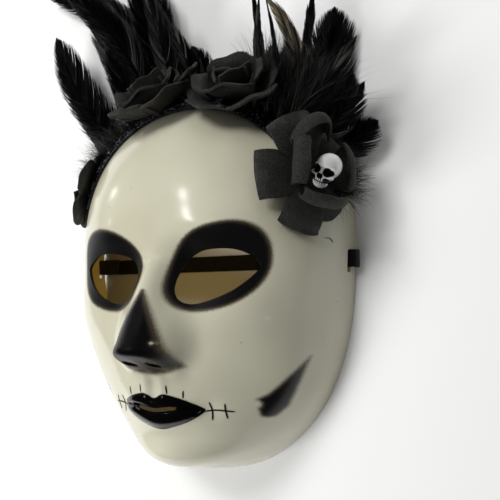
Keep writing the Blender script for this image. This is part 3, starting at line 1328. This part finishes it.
def add_strands(bm, points, across, up, widths, flatness, tones):
    """Many hairs at once: one long grid is laid along them hair after hair, the faces between two
    hairs are taken out, and each is closed to a three-sided taper"""
    count, rings = widths.shape
    points = np.maximum(points, (-np.inf, -np.inf, HAIR_CLEARANCE))
    hairs = bmesh.new()
    tone_layer = hairs.verts.layers.float.new("tone")
    along_layer = hairs.verts.layers.float.new("along")
    bmesh.ops.create_grid(hairs, x_segments=count * rings - 1, y_segments=3, size=1)
    hairs.verts.index_update()
    angles = np.radians([90, 210, 330, 90])
    rows = []
    for angle in angles:
        offset = across * math.cos(angle) + up * (math.sin(angle) * flatness)
        rows.append(points + offset * widths[..., None] / 2)
    places = np.stack(rows).reshape(-1, 3)
    for k, v in enumerate(hairs.verts):
        v.co = places[k]
        v[tone_layer] = tones[k % (count * rings) // rings]
        v[along_layer] = (k % rings) / (rings - 1)
    between = [f for f in hairs.faces if len({v.index % (count * rings) // rings for v in f.verts}) > 1]
    bmesh.ops.delete(hairs, geom=between, context="FACES_ONLY")
    loose = [e for e in hairs.edges if not e.link_faces]
    bmesh.ops.delete(hairs, geom=loose, context="EDGES")
    bmesh.ops.remove_doubles(hairs, verts=hairs.verts, dist=1e-5)
    bmesh.ops.holes_fill(hairs, edges=hairs.edges, sides=3)
    bmesh.ops.recalc_face_normals(hairs, faces=hairs.faces)
    take_in(bm, hairs)


def barb_reaches(plume, width, feet, angle):
    """How long each barb is until it meets the vane's outline, found by halving"""
    short, far = np.zeros(len(feet)), np.full(len(feet), LONGEST_BARB)
    for _ in range(HALVINGS):
        reach = (short + far) / 2
        wide = half_vane(feet + reach * np.cos(angle) / plume.length, width, plume.kind["blunt"])
        inside = wide > reach * np.sin(angle)
        short, far = np.where(inside, reach, short), np.where(inside, far, reach)
    return reach


def summed(steps):
    """Running sums along each row, from zero"""
    return np.concatenate([np.zeros((len(steps), 1)), np.cumsum(steps, axis=1)], axis=1)


def add_vane(bm, plume, number, hand):
    """The barbs on one side of a quill, in locks that lie together and split at their ends"""
    length, kind = plume.length, plume.kind
    width = plume.width * kind["soft"] if hand > 0 else plume.width
    count = int(length * VANE_SHARE / BARB_GAP)
    feet = np.linspace(VANE_FROM, VANE_TO, count)
    locks = np.cumsum(dice.random(count) < LOCK_CHANCE)
    lock_lean = dice.normal(0, 1, locks[-1] + 1)[locks]
    lock_reach = dice.random(locks[-1] + 1)[locks]
    foot_angle, tip_angle = kind["angles"]
    angle = np.radians(foot_angle + (tip_angle - foot_angle) * feet ** 0.8)
    angle = angle * (1 + 0.9 * kind["split"] * lock_lean) + dice.normal(0, ANGLE_SCATTER, count)
    angle = np.clip(angle, *BARB_ANGLES) * (1 - 0.8 * ramp((feet - TIP_FROM) / 0.06))
    reach = barb_reaches(plume, width, feet, angle)
    split = 1.6 * kind["split"] * lock_reach ** 2
    reach = reach * (1.04 - split + dice.normal(0, LENGTH_SCATTER, count))
    reach = np.minimum(reach, (1.03 - feet) * length + SHORTEST_BARB)
    reach = np.clip(reach, SHORTEST_BARB, kind["reach"])
    u = np.linspace(0, 1, BARB_RINGS + 1)
    bend = angle[:, None] * (1.5 - 1.1 * u[None, :])
    mid = (bend[:, 1:] + bend[:, :-1]) / 2
    steps = reach[:, None] / BARB_RINGS
    forward_run = summed(np.cos(mid) * steps)
    side_run = summed(np.sin(mid) * steps)
    centre, forward, side, up = quill_frame(plume, number, feet[:, None] + forward_run / length)
    side = side * hand
    camber = -0.035 * side_run ** 2 / max(width / 14, 1) * 0.5
    unruly = dice.normal(0, 0.25, count) + 0.5 * lock_lean * kind["split"]
    lift = unruly[:, None] * side_run * 0.3
    points = centre + side * side_run[..., None] + up * (camber + lift)[..., None]
    direction = unit(np.gradient(points, axis=1))
    across = unit(np.cross(direction, up))
    taper = np.minimum(1, (1 - u) * 1.6 + 0.02) ** 0.8
    widths = BARB_WIDTH * (0.75 + 0.5 * dice.random(count))[:, None] * taper[None, :]
    tones = kind["tone"] * (1 + 0.4 * lock_lean + dice.normal(0, TONE_SCATTER, count))
    tones = np.clip(tones, 0, 1) if kind["tone"] < 1 else np.clip(tones, 0.4, 1.9)
    add_strands(bm, points, across, np.cross(across, direction), widths, BARB_FLATNESS, tones)


def add_hairs(bm, roots, directions, ups, lengths, width, tones):
    """Soft down: fine hairs that leave their roots in given directions and bend a little"""
    count = len(roots)
    u = np.linspace(0, 1, BARB_RINGS + 1)[None, :, None]
    sideways = unit(np.cross(directions, ups))
    curve = dice.normal(0, 0.3, (count, 1, 1))
    sag = dice.normal(0.05, 0.12, (count, 1, 1))
    reach = lengths[:, None, None]
    points = roots[:, None] + directions[:, None] * (u * reach)
    points = points + sideways[:, None] * (curve * u ** 2 * reach) - ups[:, None] * (sag * u ** 2 * reach)
    widths = width * (1 - u[..., 0]) ** 0.6 * np.ones((count, 1))
    across = np.broadcast_to(sideways[:, None], points.shape)
    over = np.broadcast_to(ups[:, None], points.shape)
    add_strands(bm, points, across, over, widths, DOWN_FLATNESS, tones)


def add_down(bm, plume, number):
    """The fluff round a feather's foot"""
    count = plume.kind["down"]
    centre, forward, side, up = quill_frame(plume, number, 0.02 + 0.2 * dice.random(count))
    spread = dice.normal(0, 0.7, (count, 1))
    lean = dice.normal(0, 0.35, (count, 1))
    directions = unit(forward * np.cos(spread) + side * np.sin(spread) + up * lean)
    lengths = dice.uniform(6, 16, count) * min(plume.length / 60, 1.2)
    add_hairs(bm, centre, directions, up, lengths, DOWN_WIDTH, dice.uniform(0.3, 0.9, count))


def feather(name, plume, number, node):
    """One feather: its quill, a vane on either side and the down at its foot"""
    bm = bmesh.new()
    s = np.linspace(-0.01, 0.99, QUILL_RINGS + 1)
    centre, forward, side, up = quill_frame(plume, number, s)
    widths = (QUILL_WIDTH * (1 - s) ** 0.8 + QUILL_TIP_WIDTH)[None, :]
    quill_line = (centre + up * QUILL_STANDS_PROUD)[None]
    add_strands(bm, quill_line, side[None], up[None], widths, 1.0, np.array([QUILL_TONE]))
    for hand in (-1, 1):
        add_vane(bm, plume, number, hand)
    add_down(bm, plume, number)
    shade_smooth(finished_piece(name, bm, [feather_material], [node]), 180)


# Cockerel feather, dyed black: keratin with a satin gloss that runs along the barbs, bronze brown
# where the dye took thinly. The barbs are drawn 0.4 mm apart, coarser than real, to show.
feather_material, feather_shader = new_material(
    "dyed_black_feather", "#0b0b0c", 0.36, Specular_IOR_Level=0.5,
)
barb_tone = add_node(feather_material, "ShaderNodeAttribute", attribute_name="tone")
barb_half = add_node(
    feather_material, "ShaderNodeMath", {0: barb_tone.outputs["Fac"]}, operation="MULTIPLY",
    inputs={1: 0.5},
)
barb_color = add_node(feather_material, "ShaderNodeValToRGB", {"Fac": barb_half.outputs[0]})
barb_color.color_ramp.elements[0].position = 0.16
barb_color.color_ramp.elements[0].color = linear("#030304")
barb_color.color_ramp.elements[1].position = 0.95
barb_color.color_ramp.elements[1].color = linear("#a2957a")
for position, tone in ((0.3, "#111111"), (0.47, "#4e4d4a"), (0.56, "#1b1813")):
    barb_color.color_ramp.elements.new(position).color = linear(tone)
feather_material.node_tree.links.new(barb_color.outputs["Color"], feather_shader.inputs["Base Color"])

for spray, rows in (("left", LEFT_FEATHERS), ("right", RIGHT_FEATHERS)):
    for number, row in enumerate(rows):
        place = f"{spray}_{number + 1:02d}"
        feather(f"plume_{place}", Plume(*row), number, f"feather_{place}")

# A fringe of black down all along the band hides the feathers' feet. A pale-edged tuft on the left,
# long silky down behind the skull flower and a round marabou tuft on the right stand out of it.
STREAK_DEGREES = 5.5
ROOT_GAP = 0.3


def down_fringe(name, count, degrees, heights, spread, lean, lengths, width):
    """Down hairs rooted along the band that point away from the mask, lighter in streaks"""
    bm = bmesh.new()
    round_face = dice.uniform(*degrees, count)
    standoff = GLUE_GAP + BAND_THICKNESS + ROOT_GAP
    roots, normals = side_points(round_face, dice.uniform(*heights, count), standoff)
    flat = unit(normals * [1, 1, 0])
    sideways = np.cross(flat, [0, 0, 1])
    turned = np.radians(dice.normal(*spread, count))[:, None]
    rise = np.array([0, 0, 1]) * dice.normal(*lean, (count, 1))
    directions = unit(flat * np.cos(turned) + sideways * np.sin(turned) + rise)
    ups = unit(np.cross(np.cross(directions, [0, 0, 1]), directions))
    streaks = (0.5 + 0.5 * np.sin(round_face * 2 * math.pi / STREAK_DEGREES)) ** 3
    tones = np.clip(dice.uniform(0.2, 0.6, count) + 0.5 * streaks, 0, 0.94)
    add_hairs(bm, roots, directions, ups, dice.uniform(*lengths, count), width, tones)
    shade_smooth(finished_piece(name, bm, [feather_material], []), 180)


# Each: name, number of hairs, reach round the face in degrees, heights, spread and its scatter in
# degrees, rise and its scatter, shortest and longest hair, and the hairs' width
down_fringe("down_fringe", 2600, (30, 148), (12, 30), (0, 26), (0.35, 0.3), (7, 20), 0.42)
down_fringe("down_left", 420, (134, 146), (8, 20), (-8, 24), (0.1, 0.2), (14, 30), 0.26)
down_fringe("silky_right", 1300, (42, 63), (10, 30), (-12, 9), (0.34, 0.16), (24, 46), 0.5)
down_fringe("marabou_right", 1100, (19, 26), (14, 24), (6, 34), (0.25, 0.3), (8, 25), 0.3)

# Floor and light
# A plain pale floor under soft light: a pale sky, a window on the mask's right hand, lamps over and
# beyond its forehead and below its chin, sparks for the crisp highlights, and the amber light that
# comes through the shell.
FLOOR_SIDE = 4.0
LAMP_AIM = Vector((0, 0, 0.04))
SKY_STRENGTH = 0.09
floor_bm = bmesh.new()
bmesh.ops.create_grid(floor_bm, x_segments=1, y_segments=1, size=FLOOR_SIDE / 2)
floor_mesh = bpy.data.meshes.new("floor")
floor_bm.to_mesh(floor_mesh)
floor_bm.free()
floor = bpy.data.objects.new("floor", floor_mesh)

# Seamless backdrop paper: white and matte, so that it keeps only soft shadows
floor_material, _ = new_material("pale_floor", "#fbfbfa", 0.9, Specular_IOR_Level=0.1)
floor_mesh.materials.append(floor_material)
bpy.context.scene.collection.objects.link(floor)


def studio_lamp(name, place, size, power, glossy):
    """A square lamp turned to the mask; glossy says whether shiny surfaces mirror it"""
    lamp = bpy.data.objects.new(name, bpy.data.lights.new(name, "AREA"))
    lamp.data.size = size
    lamp.data.energy = power
    lamp.location = place
    lamp.rotation_mode = "QUATERNION"
    lamp.rotation_quaternion = (LAMP_AIM - Vector(place)).to_track_quat("-Z", "Y")
    lamp.visible_glossy = glossy
    bpy.context.scene.collection.objects.link(lamp)


studio_lamp("window_lamp", (-0.7, -0.5, 0.84), 0.5, 8.7, False)
studio_lamp("ceiling_lamp", (-0.25, 0.58, 1.0), 0.45, 7.0, False)
studio_lamp("high_lamp", (0.3, 0.86, 0.5), 0.6, 1.8, False)
studio_lamp("low_lamp", (-0.12, -1.03, 0.33), 0.6, 2.2, False)
studio_lamp("ceiling_spark", (-0.32, 0.45, 0.95), 0.05, 0.45, True)
studio_lamp("temple_spark", (-1.0, 0.42, 0.28), 0.07, 0.22, True)
studio_lamp("cheek_spark", (0.9, -0.42, 0.5), 0.03, 0.05, True)
glow = bpy.data.objects.new("light_through_the_shell", bpy.data.lights.new("shell_glow", "AREA"))
glow.data.size = 0.09
glow.data.energy = 0.0045
glow.data.color = (1.0, 0.68, 0.2)
glow.location = MASK_MIDDLE + Vector((-8, -5, 44)) * MM
glow.visible_camera = False
glow.visible_glossy = False
bpy.context.scene.collection.objects.link(glow)

world = bpy.data.worlds.new("studio")
world.use_nodes = True
sky = world.node_tree.nodes["Background"]
sky.inputs["Color"].default_value = (1, 1, 1, 1)
sky.inputs["Strength"].default_value = SKY_STRENGTH
world.cycles_visibility.glossy = False
bpy.context.scene.world = world
bpy.context.scene.view_settings.view_transform = "Standard"
